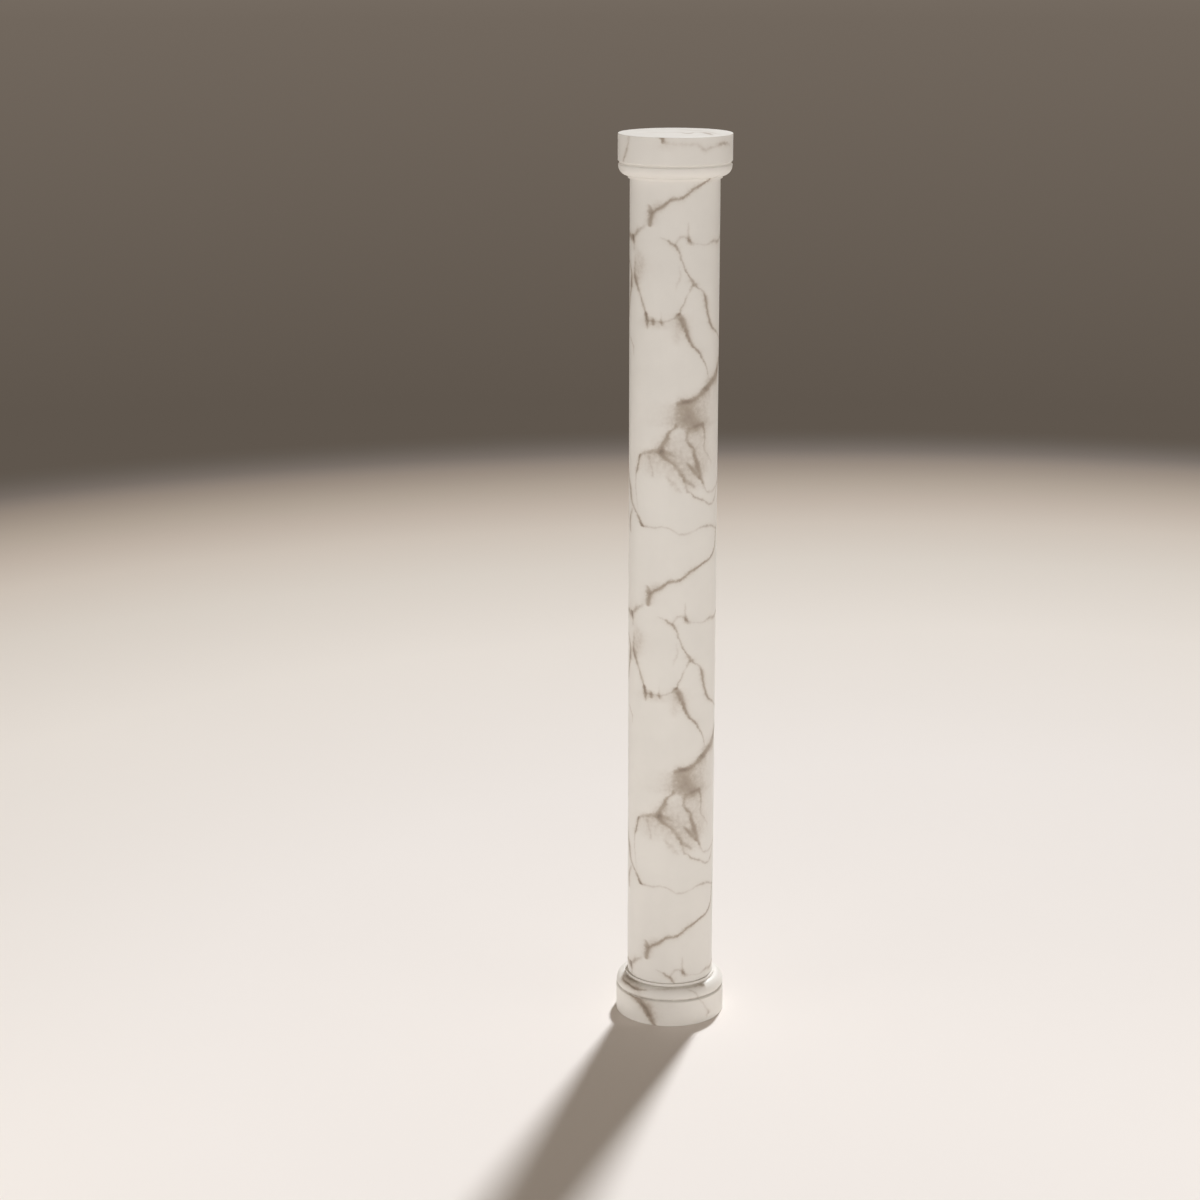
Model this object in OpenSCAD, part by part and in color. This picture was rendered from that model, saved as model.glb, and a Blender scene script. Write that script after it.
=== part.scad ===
// Tall round pedestal column. A marble-faced shaft stands in a turned base
// and carries the same moulding, turned over, as its capital. A tie rod
// clamps the three together over a stack of ballast plates, and three
// levelling feet screw down out of the underside.

/* [Column] */
// Overall height, floor to top
column_height = 2440; // [1800:10:3000]
// Outside diameter of the finished shaft
shaft_diameter = 237; // [200:1:300]

/* [Mouldings] */
// How far the drum stands out from the shaft
drum_projection = 31.5; // [20:0.5:60]
// Height of the plain drum at the foot of the moulding
drum_height = 70; // [50:1:110]
// Height of the V groove over the drum
groove_width = 10; // [4:0.5:16]
// Depth of the V groove
groove_depth = 5; // [2:0.5:8]
// How far the ovolo stands back from the face of the drum
ovolo_setback = 1; // [0.5:0.5:4]
// Height of the upright lip under the ovolo's curve
ovolo_lip = 2; // [0.5:0.5:6]
// Height of the ovolo's curve
ovolo_rise = 26; // [12:1:40]
// Level step between the ovolo and the fillet ring
ovolo_step = 2; // [0.5:0.5:5]
// Height of the fillet ring that meets the shaft
fillet_height = 7; // [3:0.5:14]
// How far the fillet ring stands out from the shaft
fillet_projection = 5.5; // [3:0.5:9]
// Radius of the rounded arris on the drum
arris_radius = 1.5; // [0.5:0.25:4]
// Radius of the eased arris on the fillet ring
fillet_arris = 0.8; // [0.2:0.1:1.5]
// Thickness of the slab that closes the socket
slab_thickness = 30; // [28:1:45]
// Gap all round between the shaft and its socket
socket_clearance = 0.4; // [0.1:0.05:1]

/* [Shaft] */
// Thickness of the marble laminate
skin_thickness = 1; // [0.6:0.1:2]
// Thickness of the glue line under the laminate
glue_line = 0.1; // [0.05:0.05:0.3]
// Width of the butt seam down the back of the laminate
seam_gap = 0.4; // [0.2:0.1:1]
// Wall of the wound tube
tube_wall = 5; // [4:0.5:10]
// Thickness of each plywood spigot
spigot_thickness = 18; // [12:1:30]
// Gap all round between a spigot and the tube
spigot_clearance = 0.3; // [0.1:0.05:0.6]

/* [Spigot screws] */
// Screws round each spigot
screw_count = 6; // [3, 6]
// Shank diameter
screw_diameter = 4; // [3:0.5:5]
// Diameter of the countersunk head
screw_head_diameter = 8; // [7:0.5:9]
// Height of the countersunk head
screw_head_height = 2.4; // [2:0.2:3]
// Length under the head's face
screw_length = 30; // [20:1:45]
// How far the head lies under the tube's surface
screw_sink = 0.3; // [0.2:0.1:0.6]
// Clearance round a screw in its hole
screw_clearance = 0.1; // [0.05:0.05:0.3]

/* [Tie rod] */
// Thread diameter of the tie rod
rod_diameter = 12; // [10:1:14]
// Distance across the flats of its nuts
nut_across_flats = 19; // [18:1:22]
// Height of its nuts
nut_height = 10; // [8:0.5:12]
// Outside diameter of its washers
washer_diameter = 30; // [24:1:36]
// Thickness of its washers
washer_thickness = 2.5; // [1.5:0.5:4]
// How far the bottom nut lies above the underside
nut_recess = 1.5; // [1:0.5:3]
// How far the rod's end lies above the underside
rod_recess = 0.8; // [0.4:0.2:1]
// Room for a socket spanner round the bottom nut
spanner_room = 3; // [2:0.5:6]
// Diameter of the threaded insert cast into the capital
capital_insert_diameter = 20; // [18:1:26]
// Length of that insert
capital_insert_length = 18; // [12:1:24]
// How far the rod's top stops short of the insert's end
rod_top_gap = 1.5; // [0.5:0.5:4]
// Gap all round between the rod and a plain hole
rod_clearance = 0.5; // [0.2:0.1:1]

/* [Ballast] */
// Thickness of one ballast plate
ballast_thickness = 15; // [8:1:25]
// Gap all round between the plates and the tube
ballast_gap = 7.4; // [3:0.1:20]
// Size of the bevel on the rim of a plate
ballast_bevel = 1; // [0.5:0.5:3]

/* [Levelling feet] */
// Distance from the tube's bore in to the centre of a foot
foot_inset = 17.4; // [15:0.1:30]
// Diameter of a foot pad
pad_diameter = 32; // [26:1:38]
// Thickness of a foot pad
pad_thickness = 8; // [7:0.5:9]
// Bevel round the foot of a pad
pad_bevel = 1; // [0.5:0.5:2]
// Height of a raised pad over the floor
pad_lift = 0.5; // [0.2:0.1:1]
// Floor of the pad under the stud's head
pad_floor = 2; // [1.5:0.5:2.5]
// Gap all round between a pad and its pocket
pocket_gap = 4; // [2:0.5:6]
// Thread diameter of a stud
stud_diameter = 8; // [6:1:10]
// Diameter of the round head that turns in the pad
stud_head_diameter = 12; // [11:0.5:14]
// Height of that head
stud_head_height = 3; // [2:0.5:3]
// Distance across the flats of the spanner collar
collar_across_flats = 13; // [12:1:17]
// Height of the spanner collar
collar_height = 3; // [2:0.5:3.5]
// How far a stud stops short of the top of the lower spigot
stud_headroom = 2; // [1:0.5:5]
// Diameter of the threaded insert for a stud
foot_insert_diameter = 13; // [12:0.5:16]
// Diameter of the insert's flange
flange_diameter = 18; // [17:1:22]
// Thickness of the insert's flange
flange_thickness = 1.5; // [1:0.25:2]
// Gap between a turning piece of a foot and what holds it
turning_gap = 0.3; // [0.2:0.05:0.4]
// Gap all round between a stud and its hole in the lower spigot
stud_clearance = 2; // [1:0.5:3]

/* [Hidden] */

$fn = 120;
// Extra length that takes a cut through a face
overrun = 1;
// Gap between mating threads
thread_gap = 0.06;
// Gap between an insert and the hole that it is set in
insert_gap = 0.05;

// Colours
marble_colour = "#e6e1da";
laminate_colour = "#ddd7cf";
tube_colour = "#b49a78";
plywood_colour = "#cdb088";
zinc_colour = "#b9bcc0";
ballast_colour = "#4b4e52";
brass_colour = "#c2a25a";
nylon_colour = "#2b2c2e";

// Radii, from the outside of the shaft inwards
shaft_r = shaft_diameter / 2;
skin_bore_r = shaft_r - skin_thickness;
tube_r = skin_bore_r - glue_line;
tube_bore_r = tube_r - tube_wall;
spigot_r = tube_bore_r - spigot_clearance;
ballast_r = tube_bore_r - ballast_gap;
socket_r = shaft_r + socket_clearance;

// Radii and levels of the moulding's outline
drum_r = shaft_r + drum_projection;
ovolo_r = drum_r - ovolo_setback;
fillet_r = shaft_r + fillet_projection;
ovolo_top_r = fillet_r + ovolo_step;
groove_bottom = drum_height + groove_width / 2;
groove_top = drum_height + groove_width;
ovolo_foot = groove_top + ovolo_lip;
ovolo_top = ovolo_foot + ovolo_rise;
moulding_height = ovolo_top + fillet_height;
arris_steps = 8;
ovolo_steps = 32;

// Levels up the column
shaft_foot = slab_thickness;
shaft_top = column_height - slab_thickness;
shaft_length = shaft_top - shaft_foot;
lower_spigot_top = shaft_foot + spigot_thickness;
upper_spigot_foot = shaft_top - spigot_thickness;
ballast_count = 4;
ballast_top = lower_spigot_top + ballast_count * ballast_thickness;

// Tie rod and what it passes
rod_r = rod_diameter / 2;
rod_hole_r = rod_r + rod_clearance;
rod_thread_r = rod_r + thread_gap;
rod_foot = rod_recess;
rod_top = shaft_top + capital_insert_length - rod_top_gap;
washer_r = washer_diameter / 2;
capital_insert_r = capital_insert_diameter / 2;
base_washer_foot = nut_recess + nut_height;
counterbore_depth = base_washer_foot + washer_thickness;
counterbore_r = washer_r + spanner_room;

// Levelling feet
foot_count = 3;
foot_first_angle = 90;
foot_circle_r = tube_bore_r - foot_inset;
stud_r = stud_diameter / 2;
stud_head_r = stud_head_diameter / 2;
pad_r = pad_diameter / 2;
pad_top = pad_lift + pad_thickness;
stud_foot = pad_lift + pad_floor + turning_gap;
collar_foot = pad_top + turning_gap;
collar_top = collar_foot + collar_height;
flange_foot = collar_top + turning_gap;
pocket_depth = flange_foot + flange_thickness;
pocket_r = pad_r + pocket_gap;
stud_top = lower_spigot_top - stud_headroom;
foot_insert_r = foot_insert_diameter / 2;
flange_r = flange_diameter / 2;

// Points along a quarter of an ellipse
function quarter(centre, across, up, from, steps) = [
    for (i = [0:steps]) let (a = from + 90 * i / steps)
        [centre[0] + across * cos(a), centre[1] + up * sin(a)]
];

// Outline of the moulding from the middle of its underside to the middle of its top
moulding_outline = concat(
    [[0, 0]],
    quarter([drum_r - arris_radius, arris_radius],
        arris_radius, arris_radius, -90, arris_steps),
    [[drum_r, drum_height],
        [drum_r - groove_depth, groove_bottom],
        [ovolo_r, groove_top]],
    quarter([ovolo_top_r, ovolo_foot],
        ovolo_r - ovolo_top_r, ovolo_rise, 0, ovolo_steps),
    [[fillet_r, ovolo_top]],
    quarter([fillet_r - fillet_arris, moulding_height - fillet_arris],
        fillet_arris, fillet_arris, 0, arris_steps),
    [[0, moulding_height]]
);

// Places its children at each foot, or at one of them
module at_feet(first = 1, last = foot_count)
    for (i = [first:last])
        rotate([0, 0, foot_first_angle + 360 * (i - 1) / foot_count])
            translate([foot_circle_r, 0, 0])
                children();

// Upright cylinder between two levels
module post(r, foot, top)
    translate([0, 0, foot])
        cylinder(h = top - foot, r = r);

// The turned moulding, with a socket for the shaft
module moulding()
    difference() {
        rotate_extrude() polygon(moulding_outline);
        post(socket_r, slab_thickness, moulding_height + overrun);
    }

// Puts a child that stands like the base in the capital's place
module at_capital()
    translate([0, 0, column_height])
        mirror([0, 0, 1])
            children();

// Hexagonal prism between two levels
module hexagon(across_flats, foot, top)
    translate([0, 0, foot])
        cylinder(h = top - foot, r = across_flats / 2 / cos(30), $fn = 6);

// Nut on the tie rod, with its foot at a level
module rod_nut(foot)
    color(zinc_colour)
        difference() {
            hexagon(nut_across_flats, foot, foot + nut_height);
            post(rod_thread_r, foot - overrun, foot + nut_height + overrun);
        }

// Flat washer on the tie rod, with its foot at a level
module rod_washer(foot)
    color(zinc_colour)
        difference() {
            post(washer_r, foot, foot + washer_thickness);
            post(rod_hole_r, foot - overrun, foot + washer_thickness + overrun);
        }

// Puts its children on each screw's axis, pointing inwards from the tube's surface
module at_screws(level)
    for (i = [0:screw_count - 1])
        rotate([0, 0, 360 * i / screw_count])
            translate([tube_r - screw_sink, 0, level])
                rotate([0, -90, 0])
                    children();

// Countersunk screw, or with a gap round it the hole for one
module screw(gap = 0) {
    cylinder(h = screw_length + gap, r = screw_diameter / 2 + gap);
    cylinder(h = screw_head_height + gap,
        r1 = screw_head_diameter / 2 + gap, r2 = screw_diameter / 2 + gap);
}

// Hole for a screw, open through the tube's surface
module screw_hole() {
    screw(screw_clearance);
    translate([0, 0, -overrun])
        cylinder(h = overrun, r = screw_head_diameter / 2 + screw_clearance);
}

// Cast base with the socket, the tie rod's counterbore and the three pockets
module base_moulding()
    color(marble_colour)
        difference() {
            moulding();
            post(rod_hole_r, -overrun, slab_thickness + overrun);
            post(counterbore_r, -overrun, counterbore_depth);
            at_feet() {
                post(pocket_r, -overrun, pocket_depth);
                post(foot_insert_r + insert_gap, -overrun, slab_thickness + overrun);
            }
        }

// Cast capital, closed on top, with a blind hole for its insert
module capital_moulding()
    color(marble_colour)
        difference() {
            at_capital() moulding();
            post(capital_insert_r + insert_gap,
                shaft_top - overrun, shaft_top + capital_insert_length);
        }

// Marble laminate wrapped round the tube, with its seam at the back
module shaft_skin()
    color(laminate_colour)
        difference() {
            post(shaft_r, shaft_foot, shaft_top);
            post(skin_bore_r, shaft_foot - overrun, shaft_top + overrun);
            translate([-seam_gap / 2, 0, shaft_foot - overrun])
                cube([seam_gap, shaft_r + overrun, shaft_length + 2 * overrun]);
        }

// Wound tube that carries the capital
module shaft_tube()
    color(tube_colour)
        difference() {
            post(tube_r, shaft_foot, shaft_top);
            post(tube_bore_r, shaft_foot - overrun, shaft_top + overrun);
            at_screws(shaft_foot + spigot_thickness / 2) screw_hole();
            at_screws(shaft_top - spigot_thickness / 2) screw_hole();
        }

// Plywood disc in the foot of the tube, bored for the rod and the studs
module lower_spigot()
    color(plywood_colour)
        difference() {
            post(spigot_r, shaft_foot, lower_spigot_top);
            post(rod_hole_r, shaft_foot - overrun, lower_spigot_top + overrun);
            at_feet()
                post(stud_r + stud_clearance,
                    shaft_foot - overrun, lower_spigot_top + overrun);
            at_screws(shaft_foot + spigot_thickness / 2) screw_hole();
        }

// Plywood disc in the top of the tube
module upper_spigot()
    color(plywood_colour)
        difference() {
            post(spigot_r, upper_spigot_foot, shaft_top);
            post(rod_hole_r, upper_spigot_foot - overrun, shaft_top + overrun);
            at_screws(shaft_top - spigot_thickness / 2) screw_hole();
        }

module lower_spigot_screws()
    color(zinc_colour)
        at_screws(shaft_foot + spigot_thickness / 2) screw();

module upper_spigot_screws()
    color(zinc_colour)
        at_screws(shaft_top - spigot_thickness / 2) screw();

// One round steel plate of the stack on the lower spigot
module ballast_plate(n) {
    foot = lower_spigot_top + (n - 1) * ballast_thickness;
    color(ballast_colour)
        difference() {
            translate([0, 0, foot])
                rotate_extrude()
                    polygon([
                        [0, 0],
                        [ballast_r - ballast_bevel, 0],
                        [ballast_r, ballast_bevel],
                        [ballast_r, ballast_thickness - ballast_bevel],
                        [ballast_r - ballast_bevel, ballast_thickness],
                        [0, ballast_thickness]
                    ]);
            post(rod_hole_r, foot - overrun, foot + ballast_thickness + overrun);
        }
}

module ballast_washer() rod_washer(ballast_top);

module ballast_nut() rod_nut(ballast_top + washer_thickness);

// Threaded rod from the underside of the base up into the capital
module tie_rod()
    color(zinc_colour)
        post(rod_r, rod_foot, rod_top);

// Threaded insert cast into the capital
module capital_insert()
    color(brass_colour)
        difference() {
            post(capital_insert_r, shaft_top, shaft_top + capital_insert_length);
            post(rod_thread_r,
                shaft_top - overrun, shaft_top + capital_insert_length + overrun);
        }

module base_washer() rod_washer(base_washer_foot);

module base_nut() rod_nut(nut_recess);

// Flanged inserts that the studs screw through
module foot_inserts()
    color(brass_colour)
        at_feet()
            difference() {
                union() {
                    post(foot_insert_r, flange_foot, slab_thickness);
                    post(flange_r, flange_foot, pocket_depth);
                }
                post(stud_r + thread_gap,
                    flange_foot - overrun, slab_thickness + overrun);
            }

// Nylon pad, hollow round the head of its stud
module foot_pad(n)
    color(nylon_colour)
        at_feet(n, n)
            difference() {
                translate([0, 0, pad_lift])
                    rotate_extrude()
                        polygon([
                            [0, 0],
                            [pad_r - pad_bevel, 0],
                            [pad_r, pad_bevel],
                            [pad_r, pad_thickness],
                            [0, pad_thickness]
                        ]);
                post(stud_head_r + turning_gap, stud_foot - turning_gap,
                    stud_foot + stud_head_height + turning_gap);
                post(stud_r + turning_gap, stud_foot, pad_top + overrun);
            }

// Stud with the head that turns in the pad and the collar that a spanner takes
module foot_stud(n)
    color(zinc_colour)
        at_feet(n, n) {
            post(stud_head_r, stud_foot, stud_foot + stud_head_height);
            post(stud_r, stud_foot, stud_top);
            hexagon(collar_across_flats, collar_foot, collar_top);
        }

base_moulding();
capital_moulding();
shaft_skin();
shaft_tube();
lower_spigot();
upper_spigot();
lower_spigot_screws();
upper_spigot_screws();
ballast_plate(1);  // ballast_plate_1
ballast_plate(2);  // ballast_plate_2
ballast_plate(3);  // ballast_plate_3
ballast_plate(4);  // ballast_plate_4
ballast_washer();
ballast_nut();
tie_rod();
capital_insert();
base_washer();
base_nut();
foot_inserts();
foot_pad(1);  // foot_pad_1
foot_pad(2);  // foot_pad_2
foot_pad(3);  // foot_pad_3
foot_stud(1);  // foot_stud_1
foot_stud(2);  // foot_stud_2
foot_stud(3);  // foot_stud_3
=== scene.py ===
import bmesh
import bpy
import math
import random
from functools import partial
from mathutils import Matrix, Vector


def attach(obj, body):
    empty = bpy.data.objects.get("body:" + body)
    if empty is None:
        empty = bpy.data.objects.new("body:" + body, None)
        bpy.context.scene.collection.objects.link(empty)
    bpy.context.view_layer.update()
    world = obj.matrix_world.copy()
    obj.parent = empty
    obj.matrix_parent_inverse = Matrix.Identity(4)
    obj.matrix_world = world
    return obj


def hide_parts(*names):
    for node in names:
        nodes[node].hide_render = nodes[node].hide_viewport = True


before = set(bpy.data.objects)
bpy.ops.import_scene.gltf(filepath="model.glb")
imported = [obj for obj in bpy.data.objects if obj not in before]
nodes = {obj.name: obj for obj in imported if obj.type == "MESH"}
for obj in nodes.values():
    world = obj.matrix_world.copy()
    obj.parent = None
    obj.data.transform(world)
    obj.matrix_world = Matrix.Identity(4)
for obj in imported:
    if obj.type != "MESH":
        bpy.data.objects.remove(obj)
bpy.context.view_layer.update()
mm = 0.001
smooth = {"interpolation_type": "SMOOTHSTEP"}
print("frame loaded:", len(nodes), "nodes")


def toLinear(hexColour):
    rgb = [int(hexColour[i:i + 2], 16) / 255 for i in (1, 3, 5)]
    return tuple(c / 12.92 if c <= 0.04045 else ((c + 0.055) / 1.055) ** 2.4 for c in rgb) + (1.0,)


# a list fills the inputs in order, a dictionary by name or number
def setInputs(node, inputs):
    for name, value in inputs.items() if isinstance(inputs, dict) else enumerate(inputs):
        if isinstance(value, bpy.types.Node):
            value = next(socket for socket in value.outputs if socket.enabled)
        if isinstance(value, bpy.types.NodeSocket):
            node.id_data.links.new(value, node.inputs[name])
        else:
            node.inputs[name].default_value = value


# the kind is the node's name without "ShaderNode", and after a space its operation
def addNode(tree, kind, inputs=(), **settings):
    kind, *operation = kind.split()
    node = tree.nodes.new("ShaderNode" + kind)
    if operation:
        node.operation = operation[0]
    for name, value in settings.items():
        setattr(node, name, value)
    setInputs(node, inputs)
    return node


def newMaterial(name, shine):
    material = bpy.data.materials.new(name)
    material.use_nodes = True
    shader = material.node_tree.nodes["Principled BSDF"]
    setInputs(shader, shine)
    return material, partial(addNode, material.node_tree), shader


def giveMaterial(material, *names):
    for name in names:
        for slot in nodes[name].material_slots:
            slot.material = material


def setRamp(node, stops):
    ramp = node.color_ramp
    while len(ramp.elements) < len(stops):
        ramp.elements.new(0.5)
    for element, (place, hexColour) in zip(ramp.elements, stops):
        element.position = place
        element.color = toLinear(hexColour)
    return node


def setCurve(curve, points):
    curve.points[0].location = points[0]
    curve.points[1].location = points[-1]
    for x, y in points[1:-1]:
        curve.points.new(x, y)
    for point in curve.points:
        point.handle_type = "AUTO_CLAMPED"


photoCamera = {
    "place": (-0.1961, -7.064, 3.051),
    "tilt": 75.20,                     # degrees from straight down
    "lens": 80.7,                      # mm, on a sensor 36 mm wide
}

studio = {
    "keyLevel": 3.25,                  # about 3.14 from straight ahead shows a colour as it is written
    "keyFrom": (0.286, 0.958, 1.19),   # over the right shoulder of the column
    "keySize": 5.0,                    # degrees across, a soft box seen from the column
    "keyTint": "#F4F9FF",
    "fillTint": "#F9FBFF",             # a pale wall behind the camera, bright only low down
    "fillLevel": 1.69,
    "wallAhead": (-0.2, 0.75),         # y of the directions from which it shines fully and not at all
    "wallHigh": (0.12, 0.48),          # z of the same, upwards
    "wallLow": (-0.12, 0.0, 0.35),     # and below the floor's level, where this share of it is left
    "roomTint": "#655846",             # the dim room all round
    # two low soft boxes: x, y, z and watts
    "lowBoxes": {"left": (-3.3, -1.9, 0.65, 7.0), "right": (3.1, -1.9, 0.65, 4.6)},
    "lowBoxSize": (2.2, 0.36),
    "lowBoxAim": (0.0, 0.0, 0.9),
    "lowBoxSpread": 90.0,              # degrees, a grid in front of each keeps its light off the near floor
    "backdropSpan": (-0.183, 0.3),     # z of the directions to its foot and its head
    # its highest tone lies above the camera's view, but the polished top reflects it
    "backdrop": [(0.0, "#5F564D"), (0.285, "#71675D"), (0.8, "#B5AA9E")],
    "floorMiddle": (0.9, 0.0),
    "floorRadius": 8.6,
    # the glow edge: from here outward the floor turns into an emission in the backdrop's tone, painted light
    "floorGlowEdge": (7.4, 8.5),           # metres from its middle, where it turns into the backdrop
    "floorDrop": 0.0005,               # clear of the underside
    "floorHole": 0.146,                # radius, covered by the base
    # metres from the middle of the pale floor, and its colour there, which darkens outward as a painted fall-off of
    # the pool of light
    "floorPaintedFalloff": [(0.0, "#F0E8E1"), (2.2, "#EFE7E0"), (4.0, "#E8DFD5"), (5.2, "#DAD0C4"), (6.0, "#CDC0B2"),
                  (6.5, "#BDAE9F"), (7.0, "#A79888"), (7.4, "#8E7F70"), (7.8, "#70645A"), (8.2, "#5F564D")],
}

camera = bpy.data.objects.new("camera", bpy.data.cameras.new("camera"))
bpy.context.collection.objects.link(camera)
camera.location = photoCamera["place"]
camera.rotation_euler = (math.radians(photoCamera["tilt"]), 0, 0)
camera.data.lens = photoCamera["lens"]
bpy.context.scene.camera = camera
bpy.context.scene.view_settings.view_transform = "Standard"

keyData = bpy.data.lights.new("keyLight", "SUN")
keyData.energy = studio["keyLevel"]
keyData.angle = math.radians(studio["keySize"])
keyData.color = toLinear(studio["keyTint"])[:3]
key = bpy.data.objects.new("keyLight", keyData)
bpy.context.collection.objects.link(key)
key.rotation_euler = Vector(studio["keyFrom"]).to_track_quat("Z", "Y").to_euler()

for side, (x, y, z, watts) in studio["lowBoxes"].items():
    boxData = bpy.data.lights.new(side + "LowBox", "AREA")
    boxData.shape = "RECTANGLE"
    boxData.size, boxData.size_y = studio["lowBoxSize"]
    boxData.energy = watts
    boxData.spread = math.radians(studio["lowBoxSpread"])
    box = bpy.data.objects.new(side + "LowBox", boxData)
    bpy.context.collection.objects.link(box)
    box.location = (x, y, z)
    box.rotation_euler = (Vector((x, y, z)) - Vector(studio["lowBoxAim"])).to_track_quat("Z", "Y").to_euler()
    box.visible_camera = box.visible_glossy = False

# the room lights the column from the front and low down; the camera and reflections see the plain backdrop
world = bpy.data.worlds.new("studio")
bpy.context.scene.world = world
world.use_nodes = True
add = partial(addNode, world.node_tree)
background = world.node_tree.nodes["Background"]
direction = add("TexCoord")
axes = add("SeparateXYZ", [direction.outputs["Generated"]])
upwards = axes.outputs["Z"]
inFront = add("MapRange", [axes.outputs["Y"], *studio["wallAhead"], studio["fillLevel"], 0.0], **smooth)
lowDown = add("MapRange", [upwards, *studio["wallHigh"], 1.0, 0.0], **smooth)
aboveFloor = add("MapRange", [upwards, *studio["wallLow"], 1.0], **smooth)
wall = add("Math MULTIPLY", [inFront, lowDown])
wall = add("Math MULTIPLY", [wall, aboveFloor])
room = add("VectorMath SCALE", {0: toLinear(studio["fillTint"])[:3], "Scale": wall})
room = add("VectorMath ADD", [room, toLinear(studio["roomTint"])[:3]])
setInputs(background, {"Color": room})
height = add("MapRange", [upwards, *studio["backdropSpan"]])
backdropTone = setRamp(add("ValToRGB", [height]), studio["backdrop"])
backdrop = add("Background", {"Color": backdropTone})
ray = add("LightPath")
seen = add("Math MAXIMUM", [ray.outputs["Is Camera Ray"], ray.outputs["Is Transmission Ray"]])
seen = add("Math MAXIMUM", [seen, ray.outputs["Is Glossy Ray"]])
shownRoom = add("MixShader", [seen, background, backdrop])
setInputs(world.node_tree.nodes["World Output"], {"Surface": shownRoom})

# a round sweep of pale matt floor that darkens into the backdrop: its colour fades outward as a painted fall-off of
# the light, and past the glow edge it is an emission that glows in the backdrop's tone, painted light; nothing shows
# of it from below
bpy.ops.mesh.primitive_circle_add(vertices=128, radius=studio["floorRadius"], fill_type="NGON",
                                  location=(*studio["floorMiddle"], -studio["floorDrop"]))
floor = bpy.context.object
floor.name = "floor"
floorPaint, add, shader = newMaterial("mattFloorPaint", {"Roughness": 0.85, "IOR": 1.45})
place = add("TexCoord").outputs["Object"]
fromMiddle = add("VectorMath LENGTH", [place])
share = add("Math DIVIDE", [fromMiddle, studio["floorRadius"]])
# painted light: the floor's colour darkens with distance from its middle, standing in for the light's fall-off
paint = setRamp(add("ValToRGB", [share]),
                [(metres / studio["floorRadius"], tone) for metres, tone in studio["floorPaintedFalloff"]])
cloud = add("TexNoise", {"Vector": place, "Scale": 0.7, "Detail": 3.0})
cloudLevel = add("MapRange", [cloud, 0.3, 0.7, 0.99, 1.0])
paint = add("VectorMath SCALE", {0: paint, "Scale": cloudLevel})
grit = add("TexNoise", {"Vector": place, "Scale": 220.0, "Detail": 2.0})
bump = add("Bump", {"Strength": 0.05, "Distance": 0.0005, "Height": grit})
setInputs(shader, {"Base Color": paint, "Normal": bump})
# painted light: past the glow edge the floor is an emission in the backdrop's tone, glowing though no lamp lights it
edge = add("MapRange", [fromMiddle, *studio["floorGlowEdge"]], **smooth)
far = add("Emission", {"Color": toLinear(studio["backdrop"][0][1])})
faded = add("MixShader", [edge, shader, far])
# a hole under the base lets light and the camera reach the feet from below
axisHere = (-studio["floorMiddle"][0], -studio["floorMiddle"][1], 0.0)
fromAxis = add("VectorMath DISTANCE", [place, axisHere])
hole = add("Math LESS_THAN", [fromAxis, studio["floorHole"]])
side = add("NewGeometry")
passes = add("Math MAXIMUM", [hole, side.outputs["Backfacing"]])
clear = add("BsdfTransparent")
oneSided = add("MixShader", [passes, faded, clear])
setInputs(floorPaint.node_tree.nodes["Material Output"], {"Surface": oneSided})
floor.data.materials.append(floorPaint)
print("camera, light and floor done")


# Veins are drawn as routes over the surface, in mm: round the column from the middle of the front
# (right is positive), and up from the floor. Each point is (round, up, half width, depth of colour).
# An "up" route is steep and has one place at each height; a "round" one is shallow.

printedSheet = {
    "radius": 118.5,
    "repeat": 1014.5,            # mm up the sheet before the print comes again
    "reach": 372.3,              # mm from the middle of the front to the seam at the back
    "bends": [(42, 2.6), (11, 3.0), (4.5, 2.2)],    # mm between bends, and how far a vein strays
    "breaks": 22,                # mm between lighter and darker stretches of a vein
    "ground": 1.0,               # how bright the ground is against the tones below
    "smears": 60,                # mm across
    "gloss": (0.33, 0.39),
}

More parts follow.
